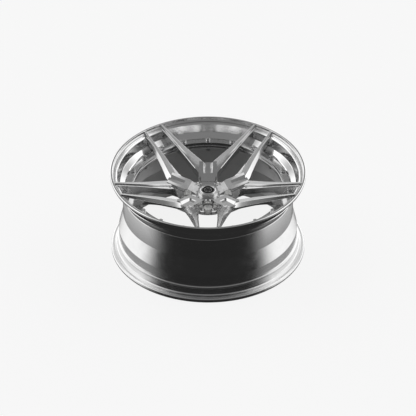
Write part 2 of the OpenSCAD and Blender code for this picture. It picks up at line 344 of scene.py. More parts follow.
def rounded(points: Profile | np.ndarray, radii: float | Sequence[float], steps: int = 6) -> np.ndarray:
    """One closed outline with rounded corners.

    Args:
        points: corners of the outline.
        radii: corner radius, one for all or one for each.
        steps: points on each rounded corner.

    Returns:
        Array of the outline's points, two columns.
    """
    return rounded_rows(np.asarray(points, float)[None], radii, steps)[0]


def grid_faces(rows: int, cols: int, wrap_rows: bool, wrap_cols: bool) -> np.ndarray:
    """Quads of a grid of points numbered row by row.

    Args:
        rows: number of rows.
        cols: points in a row.
        wrap_rows: the last row joins the first.
        wrap_cols: the last point of a row joins its first.

    Returns:
        Array of quads, four columns of point numbers.
    """
    r = np.arange(rows if wrap_rows else rows - 1)[:, None]
    c = np.arange(cols if wrap_cols else cols - 1)[None, :]
    r2, c2 = (r + 1) % rows, (c + 1) % cols
    corners = np.broadcast_arrays(r * cols + c, r * cols + c2, r2 * cols + c2, r2 * cols + c)
    return np.stack(corners, -1).reshape(-1, 4)


def turned(profile: np.ndarray, segments: int) -> tuple[np.ndarray, np.ndarray]:
    """Ring surface: each outline point (r, z) goes to (r cos a, r sin a, z) for every angle a.

    Args:
        profile: closed outline of radius and height.
        segments: angles round the ring.

    Returns:
        Points and quads.
    """
    angle = np.linspace(0, 2 * np.pi, segments, endpoint=False)[:, None]
    r, z = profile[:, 0][None, :], profile[:, 1][None, :]
    points = np.stack([r * np.cos(angle), r * np.sin(angle), z + 0 * angle], -1).reshape(-1, 3)
    return points, grid_faces(segments, len(profile), True, True)


def spindle(profile: np.ndarray, segments: int) -> tuple[np.ndarray, np.ndarray]:
    """Solid of revolution from an open line that starts and ends on the axis.

    Each point (r, z) goes round the axis; the two ends are single points that close the poles.

    Args:
        profile: open line of radius and height, first and last radius 0.
        segments: angles round the axis.

    Returns:
        Points and faces, where the pole faces repeat their last corner.
    """
    angle = np.linspace(0, 2 * np.pi, segments, endpoint=False)[:, None]
    body = profile[1:-1]
    r, z = body[:, 0][None, :], body[:, 1][None, :]
    points = np.stack([r * np.cos(angle), r * np.sin(angle), z + 0 * angle], -1).reshape(-1, 3)
    quads = grid_faces(segments, len(body), True, False)
    low, high = len(points), len(points) + 1
    points = np.vstack([points, [[0, 0, profile[0, 1]], [0, 0, profile[-1, 1]]]])
    here = np.arange(segments) * len(body)
    there = np.roll(here, -1)
    fan_low = np.stack([np.full(segments, low), there, here, here], -1)
    top = len(body) - 1
    fan_high = np.stack([np.full(segments, high), here + top, there + top, there + top], -1)
    return points, np.vstack([quads, fan_low, fan_high])


def prism(outline: np.ndarray, low: float, high: float) -> tuple[np.ndarray, list[list[int]]]:
    """Straight-sided solid: the outline at two heights, joined by side walls.

    Args:
        outline: closed outline, two columns.
        low: lower height.
        high: upper height.

    Returns:
        Points and faces.
    """
    n = len(outline)
    points = np.vstack([np.c_[outline, np.full(n, low)], np.c_[outline, np.full(n, high)]])
    faces = grid_faces(2, n, False, True).tolist()
    return points, faces + [list(range(n))[::-1], list(range(n, 2 * n))]


def repeated(points: np.ndarray, faces: np.ndarray, places: np.ndarray, angles: np.ndarray
             ) -> tuple[np.ndarray, np.ndarray]:
    """Copies of one solid, each turned about its own upright axis and then moved.

    Args:
        points: the solid's points.
        faces: its faces.
        places: where each copy's origin goes, three columns.
        angles: turn of each copy in radians.

    Returns:
        Points and faces of all the copies.
    """
    c, s = np.cos(angles)[:, None], np.sin(angles)[:, None]
    x, y, z = points.T
    moved = np.stack([c * x - s * y, s * x + c * y, z + 0 * c], -1) + places[:, None, :]
    offset = (np.arange(len(places)) * len(points))[:, None, None]
    return moved.reshape(-1, 3), (np.asarray(faces)[None] + offset).reshape(-1, np.asarray(faces).shape[1])


def make_mesh(name: str, points: np.ndarray, faces: Sequence[Sequence[int]], smooth: float = 30.0) -> Piece:
    """Puts points in millimetres into a closed mesh object, in metres, faces outward.

    Args:
        name: the piece's name.
        points: positions, three columns.
        faces: point numbers of each face; repeated corners are dropped.
        smooth: edges sharper than this many degrees stay sharp.

    Returns:
        The linked object.
    """
    mesh = bpy.data.meshes.new(name)
    rows = faces.tolist() if isinstance(faces, np.ndarray) else faces
    clean = [list(dict.fromkeys(row)) for row in rows]
    mesh.from_pydata((np.asarray(points) * MM).tolist(), [], clean)
    piece = bpy.data.objects.new(name, mesh)
    bpy.context.scene.collection.objects.link(piece)
    tidy(piece)
    shade(piece, smooth)
    return piece


def post(name: str, outline: Profile | np.ndarray, low: float, high: float, angle: float) -> Piece:
    """Upright straight-sided solid, turned about the wheel axis by an angle in degrees."""
    points, faces = prism(np.asarray(outline, float), low, high)
    return make_mesh(name, turned_copy(points, angle), faces)


def tidy(piece: Piece) -> None:
    """Merges doubles and turns every face of a piece outward."""
    work = bmesh.new()
    work.from_mesh(piece.data)
    bmesh.ops.remove_doubles(work, verts=work.verts, dist=1e-6)
    bmesh.ops.recalc_face_normals(work, faces=work.faces)
    work.to_mesh(piece.data)
    work.free()


def shade(piece: Piece, angle: float) -> None:
    """Smooth shading with sharp edges above an angle in degrees."""
    piece.data.shade_smooth()
    piece.data.set_sharp_from_angle(angle=math.radians(angle))


def carve(base: Piece, other: Piece, operation: str) -> None:
    """Adds or cuts one closed solid with another, which is then removed.

    Args:
        base: the solid that changes.
        other: the solid that is used up.
        operation: UNION, DIFFERENCE or INTERSECT.
    """
    modifier = base.modifiers.new("carve", "BOOLEAN")
    modifier.operation = operation
    modifier.object = other
    modifier.solver = "MANIFOLD"
    bpy.context.view_layer.update()
    result = bpy.data.meshes.new_from_object(base.evaluated_get(bpy.context.evaluated_depsgraph_get()))
    base.modifiers.clear()
    old = base.data
    base.data = result
    bpy.data.meshes.remove(old)
    bpy.data.objects.remove(other)


def dress(piece: Piece, material: bpy.types.Material) -> None:
    """Gives a piece one material on all its faces."""
    piece.data.materials.clear()
    piece.data.materials.append(material)


def ring_places(count: int, radius: float, start: float) -> tuple[np.ndarray, np.ndarray]:
    """Evenly spaced places on a circle and the angle of each.

    Args:
        count: how many.
        radius: circle radius in millimetres.
        start: angle of the first in degrees.

    Returns:
        Places, three columns, and angles in radians.
    """
    angle = np.radians(start + 360.0 * np.arange(count) / count)
    return np.stack([radius * np.cos(angle), radius * np.sin(angle), 0 * angle], -1), angle


def eased(known: np.ndarray, values: Sequence[float], wanted: np.ndarray) -> np.ndarray:
    """Smooth curve through known values that never overshoots them.

    Cubic Hermite pieces whose slope at each known point is the harmonic mean of the straight
    slopes on its two sides, or zero where those differ in sign.

    Args:
        known: increasing places.
        values: value at each.
        wanted: places to read.

    Returns:
        The values at the wanted places.
    """
    y = np.asarray(values, float)
    step, slope = np.diff(known), np.diff(y) / np.diff(known)
    product = slope[:-1] * slope[1:]
    total = np.where(np.abs(slope[:-1] + slope[1:]) > 1e-9, slope[:-1] + slope[1:], 1.0)
    inner = np.where(product > 0, 2 * product / total, 0.0)
    tangent = np.r_[slope[0], inner, slope[-1]]
    i = np.clip(np.searchsorted(known, wanted) - 1, 0, len(step) - 1)
    t, h = (wanted - known[i]) / step[i], step[i]
    low = (1 + 2 * t) * (1 - t) ** 2 * y[i] + t * (1 - t) ** 2 * h * tangent[i]
    return low + t**2 * (3 - 2 * t) * y[i + 1] + t**2 * (t - 1) * h * tangent[i + 1]


def turned_copy(points: np.ndarray, degrees: float) -> np.ndarray:
    """Points turned about the wheel axis."""
    c, s = math.cos(math.radians(degrees)), math.sin(math.radians(degrees))
    return points @ np.array([[c, s, 0], [-s, c, 0], [0, 0, 1.0]])


@dataclass
class Bench:
    """Keeps the finishes and puts each piece on its body, with its material."""

    finishes: dict[str, bpy.types.Material]
    nodes: dict[str, Piece]

    def seat(self, piece: Piece, finish: str, slot: str, *nodes: str, body: str = "wheel") -> None:
        """Dresses a new piece and lets it stand for CAD nodes.

        Args:
            piece: the new piece.
            finish: name of its finish.
            slot: not used.
            nodes: the CAD nodes it stands for.
            body: the body it rides on.
        """
        dress(piece, self.finishes[finish])
        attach(piece, body)
        if nodes:
            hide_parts(*nodes)
        LOG.info("%s: %d faces on %s", piece.name, len(piece.data.polygons), body)

    def keep(self, node: str, finish: str) -> None:
        """Leaves a CAD node as it is and gives it a finish."""
        dress(self.nodes[node], self.finishes[finish])
        LOG.info("%s: CAD shape kept", node)


# ---------------------------------------------------------------- rim halves


@dataclass
class SplitRim:
    """Outer lip and inner barrel, two spun rings bolted to the centre."""

    front: float = 96.3
    segments: int = 360
    lip: Profile = (
        (208.5, -58), (228, -58), (228, -47), (231, -44), (244, -36.6), (245.2, -35.2), (251.4, -13.6),
        (252.8, -12), (255.4, -10.8), (255.8, -10.0), (257, -9.8), (258.2, -7.4), (261, -6.8), (261.6, -7.6),
        (262.2, -6.6), (264.6, -6), (265.4, -0.8), (266.2, 0), (270, 0),
        (271.5, -1.5), (271.5, -6.5), (270.3, -9.6), (266.5, -11.6), (262, -12.6), (257, -14.8),
        (254.8, -17), (254, -20), (252.5, -33), (253.2, -35), (252.6, -37.2), (251, -38.6), (240, -46),
        (237.6, -48.4), (237, -51), (237, -64), (208.5, -64))
    barrel: Profile = (
        (208.5, -64), (237, -64), (237, -130), (249, -181), (249, -209), (250.2, -212.6), (252.6, -215.4),
        (253.2, -217.6), (252.5, -219.6), (254, -232.6), (254.8, -235.6), (257, -237.8), (262, -240),
        (266.5, -241), (270.3, -243), (271.5, -246.1), (271.5, -251.1), (270, -252.6), (262, -252.6),
        (259.5, -250.4), (253, -248.4), (250.4, -244.6), (248.6, -236), (247.4, -221), (244, -213),
        (244, -182.2), (232, -131.2), (232, -73), (229, -70), (208.5, -70))

    def build(self, bench: Bench) -> None:
        """Makes both rings.

        Args:
            bench: where pieces are dressed and seated.
        """
        lip = self.ring("lip_spun", self.lip, 0.6)
        bench.seat(lip, "lip", "lip", "outer_lip")
        barrel = self.ring("barrel_spun", self.barrel, 3.0)
        bench.seat(barrel, "barrel", "barrel", "inner_barrel")
        self.line_bore(barrel, bench.finishes["bore"])
        bench.keep("rim_seal", "rubber")

    @staticmethod
    def line_bore(barrel: Piece, material: bpy.types.Material) -> None:
        """Second, duller finish on the faces that look at the axis.

        A face with centre (x, y) at radius r and normal (a, b) looks inwards when a x + b y < -r / 4.

        Args:
            barrel: the inner barrel.
            material: the finish inside it.
        """
        mesh = barrel.data
        mesh.materials.append(material)
        normal, centre = np.empty((2, len(mesh.polygons), 3), np.float32)
        mesh.polygons.foreach_get("normal", normal.ravel())
        mesh.polygons.foreach_get("center", centre.ravel())
        inward = (normal[:, :2] * centre[:, :2]).sum(1) < -0.25 * np.hypot(centre[:, 0], centre[:, 1])
        mesh.polygons.foreach_set("material_index", inward.astype(np.int32))
        mesh.update()

    def ring(self, name: str, line: Profile, radius: float) -> Piece:
        """One spun ring from an outline of radius and depth behind the lip plane.

        Args:
            name: the piece's name.
            line: corners of the outline.
            radius: corner radius in millimetres.

        Returns:
            The ring.
        """
        outline = np.asarray(line, float) + [0, self.front]
        return make_mesh(name, *turned(rounded(outline, radius), self.segments), smooth=35)


# ---------------------------------------------------------------- forged centre


@dataclass
class ForgedCentre:
    """One forging: mounting pad, boss, five stems, ten arms and the bolting ring."""

    front: float = 96.3
    stems: Sequence[int] = (90, 162, 234, 306, 378)
    slots: Sequence[int] = (54, 126, 198, 270, 342)
    slope: float = 0.295
    tip: float = 264.6
    pad: float = 76.0
    boss: float = 27.5
    core: float = 51.0
    lug_circle: float = 60.0
    lug_bore: float = 13.0
    lug_room: float = 15.5
    slot_half: float = 26.0
    plateau_half: float = 24.2
    rib_half: float = 17.4
    step_half: float = 40.0
    channel_depth: float = 73.8
    channel_rise: float = 0.19
    valley: float = -72.6
    boss_depth: float = 63.6
    ring_depth: float = 48.0
    wall: float = 227.5
    draft: float = 0.42
    stations: Sequence[float] = (64, 88, 100, 126, 152, 178, 206, 236, 262.4)
    slot_side: Sequence[float] = (26, 26, 26, 26, 26, 26, 25.2, 24, 22.6)
    ridge: Sequence[float] = (42, 41, 39, 35, 31, 29.6, 28.6, 27.2, 25.4)
    top: Sequence[float] = (52, 56, 55.6, 51, 45.4, 41, 37, 33.4, 30.4)
    outer: Sequence[float] = (58, 66, 68, 61.4, 54.4, 48.6, 42.4, 37, 32.2)
    shelf: Sequence[float] = (15, 7.4, 7.2, 7, 6.6, 6.4, 6.2, 6, 5.6)
    outer_drop: Sequence[float] = (10, 10, 10, 10, 10, 9.6, 9, 8, 6)
    deep: Sequence[float] = (34, 28, 27.4, 27, 26, 27, 35.6, 47, 52)
    side: Sequence[float] = (22, 18, 17, 16.4, 16.4, 20, 31, 45, 52)
    corner: Sequence[float] = (0.6, 0.6, 0.3, 0.3, 0.5, 0.8, 1.3, 1.6, 1.6, 0.6, 0.6)

    def build(self, bench: Bench) -> None:
        """Makes the forging and seats it.

        Args:
            bench: where pieces are dressed and seated.
        """
        floor = self.front + self.valley
        body = self.disc("centre_forging", [(0, 0), (self.core, 0), (self.core, floor), (0, floor)])
        for stem, slot in zip(self.stems, self.slots):
            for solid in (*self.stem(stem), self.arm(slot, 1), self.arm(slot, -1)):
                carve(body, solid, "UNION")
        for stem, slot in zip(self.stems, self.slots):
            for solid in (*self.slot_cutter(slot), self.channel_cutter(stem)):
                carve(body, solid, "DIFFERENCE")
        for solid in self.hub():
            carve(body, solid, "UNION")
        for solid in self.cutters():
            carve(body, solid, "DIFFERENCE")
        tidy(body)
        shade(body, 28)
        normals = body.modifiers.new("even", "WEIGHTED_NORMAL")
        normals.keep_sharp = True
        bench.seat(body, "centre", "centre", "forged_centre")

    def arm(self, angle: float, hand: int) -> Piece:
        """One arm, a rounded section carried out along the slot.

        At distance u along the slot the face height is front - (262.4 - u) slope; the section's
        corners come from the tables of widths and depths, smoothly read between the stations.

        Args:
            angle: direction of the slot in degrees.
            hand: 1 for the left side of the slot, -1 for the right.

        Returns:
            The arm as a closed solid.
        """
        known = np.asarray(self.stations, float)
        u = np.linspace(known[0], known[-1], 54)
        read = lambda values: eased(known, values, u)
        a, r, s, k, t = map(read, (self.slot_side, self.ridge, self.shelf, self.outer, self.top))
        drop, deep, side = map(read, (self.outer_drop, self.deep, self.side))
        z = self.front - (known[-1] - u) * self.slope
        low = np.maximum(a + 4, k - self.draft * (side - drop))
        edge = np.minimum(0.3 * (r - a), 1.4)
        v = np.stack([a + 0.6, a, a, a + edge, np.maximum(a + 1.2, r - 3.2), np.maximum(a + 1.4, r - 3),
                      r, t, k, low + 1, low], 1)
        h = np.stack([z - deep, z - deep + 1, z - s - edge, z - s, z - s + 0.4, z - 3.8, z, z, z - drop,
                      z - side + 1, z - side], 1)
        section = rounded_rows(np.stack([v, h], -1), self.corner, 5)
        n = section.shape[1]
        points = np.stack([np.broadcast_to(u[:, None], section.shape[:2]), hand * section[..., 0],
                           section[..., 1]], -1).reshape(-1, 3)
        faces = grid_faces(len(u), n, False, True).tolist()
        faces += [list(range(n)), list(range(len(points) - n, len(points)))]
        return make_mesh("arm", turned_copy(points, angle), faces)

    def slab(self, line: Profile, half: float, angle: float) -> Piece:
        """Side view of a stem, distance and depth, drawn out across to a half width.

        Args:
            line: closed side view.
            half: half width.
            angle: direction of the stem in degrees.

        Returns:
            The slab.
        """
        points, faces = prism(np.asarray(line, float), -half, half)
        x, z, y = points.T
        return make_mesh("slab", turned_copy(np.stack([x, y, z + self.front], -1), angle), faces)

    def stem(self, angle: float) -> list[Piece]:
        """The three steps of one stem between hub and fork.

        Args:
            angle: direction of the stem in degrees.

        Returns:
            The lower, wide step, the plateau on it and the rib that falls towards the boss.
        """
        valley = self.valley
        side = [(118, -52), (100, -53.4), (86, -58.6), (74, -64), (44, valley), (0, valley - 12.6),
                (0, -94.3), (74, -94), (92, -80), (118, -68)]
        lower = self.slab(side, self.step_half, angle)
        plan = [(0, 0), (20, -24), (60, -36), (96, -36), (117, -8), (117, 8), (96, 36), (60, 36), (20, 24)]
        carve(lower, post("plan", rounded(plan, 2.5), -5, 115, angle), "INTERSECT")
        plateau = [(112, -75), (112, -44.6), (95, -49.6), (73, -55), (52, -59), (42, -64.4), (39, -71),
                   (39, -80)]
        rib = [(62, -75), (62, -57.6), (48, -62), (24, -75.4), (24, -82)]
        return [lower, self.slab(plateau, self.plateau_half, angle), self.slab(rib, self.rib_half, angle)]

    def slot_cutter(self, angle: float) -> list[Piece]:
        """Open slot: a V along the sides of the two stems, then straight out, and room about the lug hole.

        Args:
            angle: direction of the slot in degrees.

        Returns:
            The two cutting solids.
        """
        half, turn = self.slot_half, math.pi / 5
        apex, knee = half / math.sin(turn), half / math.sin(turn) + half / math.tan(turn)
        outline = [(apex, 0), (knee, -half), (112, -half), (112, half), (knee, half)]
        return [post("slot", outline, -20, 148, angle),
                post("slot_room", self.lug_ring(self.lug_room), -21, 149, angle)]

    def lug_ring(self, radius: float) -> np.ndarray:
        """Circle about a lug hole on the slot's own axis."""
        sweep = np.linspace(0, 2 * np.pi, 72, endpoint=False)
        return np.stack([self.lug_circle + radius * np.cos(sweep), radius * np.sin(sweep)], -1)

    def channel_cutter(self, angle: float) -> Piece:
        """Tapered channel in a stem, rising slightly outwards.

        Args:
            angle: direction of the stem in degrees.

        Returns:
            The cutting solid.
        """
        line = np.array([(-6.8, 0), (6.8, 0), (13.6, 6), (13.6, 30), (-13.6, 30), (-13.6, 6)])
        points, faces = prism(line, 70, 130)
        y, z, x = points.T
        points = np.stack([x, y, z + self.front - self.channel_depth + self.channel_rise * x], -1)
        return make_mesh("channel", turned_copy(points, angle), faces)

    def disc(self, name: str, line: Profile, edge: float = 0.0) -> Piece:
        """Solid of revolution from a line of radius and height.

        Args:
            name: the piece's name.
            line: open line from the axis to the axis.
            edge: corner radius.

        Returns:
            The solid.
        """
        profile = np.asarray(line, float)
        if edge:
            inner = rounded(profile, edge, 4).reshape(len(profile), 4, 2)[1:-1].reshape(-1, 2)
            profile = np.vstack([profile[:1], inner, profile[-1:]])
        return make_mesh(name, *spindle(profile, 144))

    def hub(self) -> list[Piece]:
        """Mounting pad, boss and bolting ring.

        Returns:
            The three solids.
        """
        top, ring = self.front - self.boss_depth, self.front - self.ring_depth
        pad = self.disc("pad", [(0, 0), (self.pad, 0), (self.pad, 10), (0, 10)], 1.0)
        boss = self.disc("boss", [(0, 4), (self.boss, 4), (self.boss, top), (0, top)], 0.6)
        outline = rounded([(210, ring - 10), (self.wall, ring - 10), (self.wall, ring), (210, ring)], 0.8)
        return [pad, boss, make_mesh("bolting_ring", *turned(outline, 240))]

    def cutters(self) -> list[Piece]:
        """Everything that is cut last: lip room, hub bore, lug bores and their notches.

        Returns:
            The cutting solids.
        """
        top = self.front - self.boss_depth
        room = np.array([(self.wall, -80), (self.wall, -46.4), (230.6, -43.2), (243.6, -35.8), (244.4, -34.8),
                         (250.7, -13), (252.4, -11.2), (256.6, -9), (257.7, -6.7), (self.tip, -5.2),
                         (self.tip, 20), (320, 20), (320, -80)]) + [0, self.front]
        made = [make_mesh("lip_room", *turned(room, 360)),
                self.disc("below", [(0, -30), (110, -30), (110, 0), (0, 0)]),
                self.disc("bore", [(0, -1), (32.05, -1), (32.05, 6), (23.4, 14.6), (23.4, top - 16.6),
                                   (24.6, top - 16.6), (24.6, top - 13.4), (23.4, top - 13.4),
                                   (23.4, top - 4), (25.5, top - 4), (25.5, top + 40), (0, top + 40)])]
        for angle in self.slots:
            made.append(post("lug", self.lug_ring(self.lug_bore), -1, 59, angle))
            made.append(post("notch", [(60, -10), (90, -10), (90, 10), (60, 10)], 2.4, 62, angle))
        return made


# ---------------------------------------------------------------- hardware


@dataclass
class AssemblyHardware:
    """Twenty twelve-point bolts with washers in front, flanged nuts and washers behind."""

    circle: float = 219.5
    count: int = 20
    ring_top: float = 48.3
    back: float = 26.3
    washer: float = 1.6
    nut_height: float = 8.0
    proud: float = 1.5
    nut_corner: float = 6.9
    bolt_corner: float = 5.9

    def build(self, bench: Bench) -> None:
        """Makes each kind once and repeats it round the ring.

        Args:
            bench: where pieces are dressed and seated.
        """
        places, angles = ring_places(self.count, self.circle, 90)
        head = self.ring_top + self.washer
        kinds = [("bolt_row", self.bolt(), head, "bolt", "assembly_bolts"),
                 ("washer_row_front", self.flat_washer(7.0), self.ring_top, "washer", "bolt_washers"),
                 ("nut_row", self.nut(), self.back - self.washer, "nut", "assembly_nuts"),
                 ("washer_row_back", self.flat_washer(7.6), self.back - self.washer, "washer", "nut_washers")]
        for name, (points, faces), height, look, node in kinds:
            at = places + [0, 0, height]
            piece = make_mesh(name, *repeated(points, faces, at, angles), smooth=24)
            bench.seat(piece, look, look, node)

    def bolt(self) -> tuple[np.ndarray, np.ndarray]:
        """Bolt whose head radius follows the larger of two hexagons 30 degrees apart.

        Returns:
            Points and faces, height 0 under the head flange.
        """
        end = -(self.ring_top + self.washer - self.back + self.washer + self.nut_height + self.proud)
        rows = [(0, end, 0), (3.2, end, 0), (4, end + 0.8, 0), (4, 0, 0), (6.35, 0, 0), (6.6, 0.25, 0),
                (6.6, 1.3, 0), (6.2, 1.7, 0), (5.9, 1.75, 1), (5.9, 7.2, 1), (5.25, 7.9, 1), (4.1, 8.0, 0),
                (2.9, 8.0, 0), (2.6, 7.7, 0), (2.6, 5.6, 0), (0, 5.6, 0)]
        return self.cornered(rows, 12, 72)

    def nut(self) -> tuple[np.ndarray, np.ndarray]:
        """Hexagon nut with a round flange.

        Returns:
            Points and faces, height 0 on the washer and the nut below it.
        """
        rows = [(4.05, -8, 0), (5.7, -8, 0), (6.9, -7.3, 1), (6.9, -2.2, 1), (6.9, -1.9, 0), (7.0, -1.7, 0),
                (7.0, 0, 0), (4.05, 0, 0)]
        line = np.array([(r, z) for r, z, _ in rows])
        points, faces = turned(line, 48)
        return self.hexed(points, np.tile([flag for *_, flag in rows], 48), 6), faces

    def cornered(self, rows: Sequence[tuple[float, float, int]], corners: int, segments: int
                 ) -> tuple[np.ndarray, np.ndarray]:
        """Solid of revolution in which the marked rows are limited to a cornered outline.

        Args:
            rows: radius, height, and 1 where the row is cornered.
            corners: number of corners.
            segments: angles round the axis.

        Returns:
            Points and faces.
        """
        line = np.array([(r, z) for r, z, _ in rows])
        points, faces = spindle(line, segments)
        flags = np.r_[np.tile([flag for *_, flag in rows[1:-1]], segments), 0, 0]
        return self.hexed(points, flags, corners), faces

    def hexed(self, points: np.ndarray, flags: np.ndarray, corners: int) -> np.ndarray:
        """Pulls marked points in to a hexagon, or to the union of two for twelve corners.

        A hexagon of corner radius R is R cos 30 / cos(a - 30) for a turn a within each sixth.

        Args:
            points: the round solid's points.
            flags: 1 for the points to pull in.
            corners: 6 or 12.

        Returns:
            The moved points.
        """
        angle = np.degrees(np.arctan2(points[:, 1], points[:, 0]))
        radius = self.nut_corner if corners == 6 else self.bolt_corner
        flat = lambda turn: radius * math.cos(math.pi / 6) / np.cos(np.radians((angle + turn) % 60 - 30))
        limit = flat(0) if corners == 6 else np.maximum(flat(0), flat(30))
        own = np.hypot(points[:, 0], points[:, 1])
        pull = np.where((flags > 0) & (own > limit), limit / np.maximum(own, 1e-6), 1.0)
        return points * np.stack([pull, pull, np.ones_like(pull)], -1)

    def flat_washer(self, outer: float) -> tuple[np.ndarray, np.ndarray]:
        """Washer with softened edges, height 0 at its lower face."""
        return turned(rounded([(4.1, 0), (outer, 0), (outer, self.washer), (4.1, self.washer)], 0.3, 3), 40)


@dataclass
class LugSeats:
    """Five coned seats for the wheel bolts."""

    circle: float = 60.0

    def build(self, bench: Bench) -> None:
        """Makes one seat and repeats it.

        Args:
            bench: where pieces are dressed and seated.
        """
        line = [(7.3, 0), (13, 0), (13, 14.6), (12, 16), (11.34, 16), (7.3, 9)]
        points, faces = turned(rounded(line, 0.35, 4), 72)
        places, angles = ring_places(5, self.circle, 54)
        piece = make_mesh("lug_seat_row", *repeated(points, faces, places, angles))
        # The insert finish is a near-white painted reflection, not the seats' own metal colour.
        bench.seat(piece, "insert", "insert", "lug_seat_inserts")


# ---------------------------------------------------------------- centre cap


@dataclass
class CentreCap:
    """Snap-in cap: shell, bright trim ring, gloss badge, raised emblem."""

    boss_top: float = 32.7
    outer: float = 25.2

    def build(self, bench: Bench) -> None:
        """Makes the visible parts and finishes the hidden ones.

        Args:
            bench: where pieces are dressed and seated.
        """
        lid, top = self.boss_top - 4, self.boss_top + 0.6
        ring = [(17.5, lid + 3.2), (self.outer, lid + 3.2), (self.outer, top - 0.7), (self.outer - 0.7, top),
                (22.4, top), (20, top + 0.8), (18.2, top + 0.8), (17.5, top + 0.2)]
        piece = make_mesh("cap_ring_bright", *turned(rounded(ring, 0.5), 144))
        bench.seat(piece, "cap_ring", "cap_ring", "cap_trim_ring", body="centre_cap")
        dome_r = np.linspace(16.9, 0, 14)
        dome = np.stack([dome_r, top - 0.75 + 0.55 * (1 - (dome_r / 16.9) ** 2)], -1)
        line = np.vstack([[(0, lid + 2), (17.4, lid + 2), (17.4, top - 1.0)], dome])
        piece = make_mesh("badge_lens", *spindle(line, 144))
        bench.seat(piece, "badge", "cap_badge", "cap_badge", body="centre_cap")
        bench.seat(self.emblem(top), "cap_ring", "cap_badge", "cap_emblem", body="centre_cap")
        bench.keep("cap_shell", "plastic")
        bench.keep("cap_spring_ring", "spring")
        bench.keep("cap_seal", "rubber")

    def emblem(self, top: float) -> Piece:
        """Raised ring with five small bars.

        Args:
            top: height of the cap's rim.

        Returns:
            The emblem.
        """
        low, high = top - 0.4, top + 0.15
        ring, faces = turned(rounded([(9.8, low), (10.7, low), (10.7, high), (9.8, high)], 0.15, 4), 96)
        bar = rounded([(3.4, -0.5), (9.9, -0.4), (9.9, 0.4), (3.4, 0.5)], 0.2, 4)
        body, sides = prism(bar, low, high)
        points, rows = [ring], faces.tolist()
        for i in range(5):
            start = len(ring) + i * len(body)
            points.append(turned_copy(body, 90 + 72 * i))
            rows += [[corner + start for corner in face] for face in sides]
        return make_mesh("emblem_plain", np.vstack(points), rows)


# ---------------------------------------------------------------- tyre valve


@dataclass
class TyreValve:
    """Clamp-in valve through the barrel: threaded stem, hexagon nut, knurled cap."""

    angle: float = 18.0
    drop: float = 237.0
    height: float = 2.3
    pitch: float = 0.7938
    kept: dict[str, str] = field(default_factory=lambda: {
        "valve_grommet": "rubber", "valve_washer": "valve", "valve_core": "core", "valve_core_seal": "rubber",
        "valve_pin": "core", "valve_cap_seal": "rubber"})

    def build(self, bench: Bench) -> None:
        """Makes stem, nut and cap, and finishes the small inner parts.

        Args:
            bench: where pieces are dressed and seated.
        """
        bench.seat(self.stem(), "valve", "valve", "valve_stem")
        bench.seat(self.nut(), "valve", "valve", "valve_nut")
        bench.seat(self.cap(), "valve_cap", "valve_cap", "valve_cap", body="valve_cap")
        for node, finish in self.kept.items():
            bench.keep(node, finish)

    def place(self, points: np.ndarray) -> np.ndarray:
        """Carries points from the valve's own axis to its hole: height h becomes radius drop - h.

        Args:
            points: positions with the valve's axis upright.

        Returns:
            Positions on the wheel.
        """
        x, y, h = points.T
        return turned_copy(np.stack([x, h - self.drop, self.height - y], -1), self.angle + 90)

    def stem(self) -> Piece:
        """Stem: head, shank, and a helical thread, radius times 1 - 0.075 |1 - 2 frac(z / pitch - a)|."""
        rows = [(1.6, -7.6), (7.6, -7.6), (8, -7.2), (8, -4.4), (7.6, -4), (5, -4), (5, 21.3), (3.85, 23)]
        rows += [(3.85, z) for z in np.linspace(23.2, 35.6, 126)]
        rows += [(3.5, 36), (2.65, 36), (2.65, 18), (1.6, 18)]
        points, faces = turned(np.array(rows), 48)
        angle = np.arctan2(points[:, 1], points[:, 0]) / (2 * np.pi)
        radius, z = np.hypot(points[:, 0], points[:, 1]), points[:, 2]
        wave = np.abs(1 - 2 * ((z / self.pitch - angle) % 1.0))
        scale = np.where((radius > 3.6) & (radius < 4) & (z > 23.1) & (z < 35.7), 1 - 0.075 * wave, 1.0)
        points[:, :2] *= scale[:, None]
        return make_mesh("stem_threaded", self.place(points), faces, smooth=50)

    def nut(self) -> Piece:
        """Hexagon nut: a ring whose outside is pulled in to flats, chamfered both ends."""
        rows = [(5.03, 6.5), (7.2, 6.5), (8, 7.0), (8, 11), (7.2, 11.5), (5.03, 11.5)]
        points, faces = turned(np.array(rows), 72)
        angle, own = np.arctan2(points[:, 1], points[:, 0]), np.hypot(points[:, 0], points[:, 1])
        limit = 8 * math.cos(math.pi / 6) / np.cos(angle % (math.pi / 3) - math.pi / 6)
        pull = np.where(own > 6, np.minimum(1, limit / own), 1.0)
        points[:, :2] *= pull[:, None]
        return make_mesh("nut_hexagon", self.place(points), faces, smooth=24)

    def cap(self) -> Piece:
        """Cap: a cup whose side wall is scalloped 24 times round, radius less 0.12 (1 - cos 24a)."""
        rows = [(3.9, 27.5), (4.7, 27.5), (4.9, 27.8), (4.9, 28.6), (4.9, 29), (4.9, 37), (4.9, 37.6),
                (4.9, 38.4), (4.1, 39.5), (0.02, 39.5), (0.02, 37.4), (3.9, 37.4)]
        points, faces = turned(np.array(rows), 144)
        x, y, z = points.T
        angle, own = np.arctan2(y, x), np.hypot(x, y)
        knurl = np.where((own > 4.5) & (z > 28.8) & (z < 37.4), 0.12 * (1 - np.cos(24 * angle)), 0.0)
        points[:, :2] *= (1 - knurl / np.maximum(own, 1e-6))[:, None]
        return make_mesh("cap_knurled", self.place(points), faces, smooth=40)


# ---------------------------------------------------------------- studio


